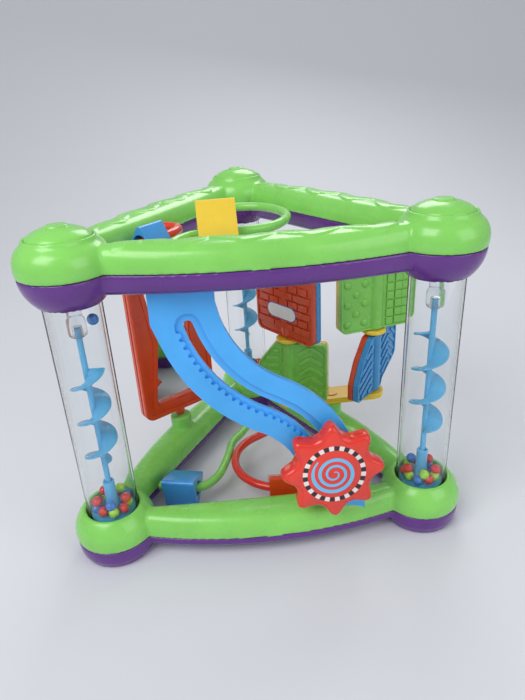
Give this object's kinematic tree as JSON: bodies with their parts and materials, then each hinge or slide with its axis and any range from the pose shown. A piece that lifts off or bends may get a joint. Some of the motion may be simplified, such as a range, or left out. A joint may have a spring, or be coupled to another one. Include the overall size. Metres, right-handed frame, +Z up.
{
  "type": "baby activity toy",
  "caption": "Three-sided free-standing baby activity toy: clear bead columns, star wheel on a slotted slide, turning mirror, flippers and bead mazes.",
  "frame": {"origin": "middle of the bounding box's underside, on the surface that the three feet rest on", "axes": "+Z up; -Y towards the side with the slide panel and star wheel; +X to that side's right"},
  "size_m": [0.3132, 0.2883, 0.2626],
  "materials": {
    "green_plastic": "smooth moulded",
    "purple_plastic": "smooth moulded",
    "sky_plastic": "smooth moulded",
    "auger_blue": "smooth moulded",
    "deep_blue_plastic": "smooth moulded",
    "red_plastic": "smooth moulded",
    "red_orange_plastic": "smooth moulded",
    "yellow_plastic": "smooth moulded",
    "clear_plastic": "clear, polished",
    "bead_mix": "loose red, lime and blue beads",
    "label_print": "printed film",
    "mirror_film": "mirrored acrylic sheet",
    "steel": "plated steel"
  },
  "bodies": {
    "frame": {"top_upper_shell": "green_plastic", "bottom_upper_shell": "green_plastic", "top_lower_shell": "purple_plastic", "bottom_lower_shell": "purple_plastic", "corner_cap_left": "green_plastic", "foot_screw_left": "steel", "column_tube_left": "clear_plastic", "column_base_left": "auger_blue", "column_socket_left": "clear_plastic", "column_beads_left": "bead_mix", "corner_cap_right": "green_plastic", "foot_screw_right": "steel", "column_tube_right": "clear_plastic", "column_base_right": "auger_blue", "column_socket_right": "clear_plastic", "column_beads_right": "bead_mix", "corner_cap_back": "green_plastic", "foot_screw_back": "steel", "column_tube_back": "clear_plastic", "column_base_back": "auger_blue", "column_socket_back": "clear_plastic", "column_beads_back": "bead_mix", "slide_panel": "sky_plastic", "top_maze_tube_green": "green_plastic", "top_maze_tube_red": "red_plastic", "bottom_maze_tube_green": "green_plastic", "bottom_maze_tube_red": "red_plastic"},
    "mirror": {"mirror_frame_front": "red_orange_plastic", "mirror_frame_back": "red_orange_plastic", "mirror_sheet": "mirror_film"},
    "carousel": {"carousel_lower_bar": "yellow_plastic", "carousel_upper_bar": "yellow_plastic", "carousel_shaft_left": "steel", "carousel_shaft_right": "steel", "carousel_collar_left": "yellow_plastic", "carousel_collar_right": "yellow_plastic"},
    "wheel_carriage": {"wheel_axle": "sky_plastic"},
    "wheel": {"star_wheel": "red_plastic", "wheel_label": "label_print", "wheel_pinion": "red_plastic", "wheel_screw": "steel"},
    "auger_left_body": {"auger_left": "auger_blue"},
    "auger_right_body": {"auger_right": "auger_blue"},
    "auger_back_body": {"auger_back": "auger_blue"},
    "flipper_upper_left": {"flipper_upper_left_front": "red_orange_plastic", "flipper_upper_left_back": "deep_blue_plastic"},
    "flipper_lower_left": {"flipper_lower_left_front": "green_plastic", "flipper_lower_left_back": "yellow_plastic"},
    "flipper_upper_right": {"flipper_upper_right_front": "green_plastic", "flipper_upper_right_back": "yellow_plastic"},
    "flipper_lower_right": {"flipper_lower_right_front": "deep_blue_plastic", "flipper_lower_right_back": "red_orange_plastic"},
    "top_bead_yellow_body": {"top_bead_yellow": "yellow_plastic"},
    "top_bead_blue_body": {"top_bead_blue": "deep_blue_plastic"},
    "bottom_bead_blue_body": {"bottom_bead_blue": "deep_blue_plastic"},
    "bottom_bead_orange_body": {"bottom_bead_orange": "red_orange_plastic"}
  },
  "joints": [
    {"name": "auger_spin_left", "type": "hinge", "parent": "frame", "child": "auger_left_body", "pos_m": [-0.125, -0.10395, 0.1], "axis": [0, 0, 1], "continuous": true},
    {"name": "auger_spin_right", "type": "hinge", "parent": "frame", "child": "auger_right_body", "pos_m": [0.125, -0.10395, 0.1], "axis": [0, 0, 1], "continuous": true},
    {"name": "auger_spin_back", "type": "hinge", "parent": "frame", "child": "auger_back_body", "pos_m": [0, 0.11255, 0.1], "axis": [0, 0, 1], "continuous": true},
    {"name": "mirror_spin", "type": "hinge", "parent": "frame", "child": "mirror", "pos_m": [-0.07462, 0.0113, 0.1], "axis": [0, 0, 1], "continuous": true},
    {"name": "carousel_spin", "type": "hinge", "parent": "frame", "child": "carousel", "pos_m": [0.07462, 0.0113, 0.1], "axis": [0, 0, 1], "continuous": true},
    {"name": "flipper_spin_upper_left", "type": "hinge", "parent": "carousel", "child": "flipper_upper_left", "pos_m": [0.03365, 0.00987, 0.1], "axis": [0, 0, 1], "continuous": true},
    {"name": "flipper_spin_lower_left", "type": "hinge", "parent": "carousel", "child": "flipper_lower_left", "pos_m": [0.03365, 0.00987, 0.1], "axis": [0, 0, 1], "continuous": true},
    {"name": "flipper_spin_upper_right", "type": "hinge", "parent": "carousel", "child": "flipper_upper_right", "pos_m": [0.1156, 0.01273, 0.1], "axis": [0, 0, 1], "continuous": true},
    {"name": "flipper_spin_lower_right", "type": "hinge", "parent": "carousel", "child": "flipper_lower_right", "pos_m": [0.1156, 0.01273, 0.1], "axis": [0, 0, 1], "continuous": true},
    {"name": "wheel_travel", "type": "hinge", "parent": "frame", "child": "wheel_carriage", "pos_m": [-0.03067, -0.12347, 0.05419], "axis": [0, -0.9976, 0.0698], "range_deg": [0, 48.5]},
    {"name": "wheel_spin", "type": "hinge", "parent": "wheel_carriage", "child": "wheel", "pos_m": [0.04498, -0.12201, 0.07512], "axis": [0, -0.9976, 0.0698], "range_deg": [0, 481]},
    {"name": "top_bead_yellow_slide", "type": "slide", "parent": "frame", "child": "top_bead_yellow_body", "axis": [0.9986, 0.0523, 0], "range_m": [-0.001, 0.011]},
    {"name": "top_bead_blue_slide", "type": "slide", "parent": "frame", "child": "top_bead_blue_body", "axis": [0.6018, 0.7986, 0], "range_m": [-0.004, 0.004]},
    {"name": "bottom_bead_blue_slide", "type": "slide", "parent": "frame", "child": "bottom_bead_blue_body", "axis": [0.9703, -0.2419, 0], "range_m": [-0.002, 0.002]},
    {"name": "bottom_bead_orange_swing", "type": "hinge", "parent": "frame", "child": "bottom_bead_orange_body", "pos_m": [0.017, -0.03995, 0.0215], "axis": [0, 0, 1], "range_deg": [-34, 0]}
  ],
  "couplings": [
    {"joint": "wheel_spin", "follows": "wheel_travel", "ratio": 9.9028}
  ]
}
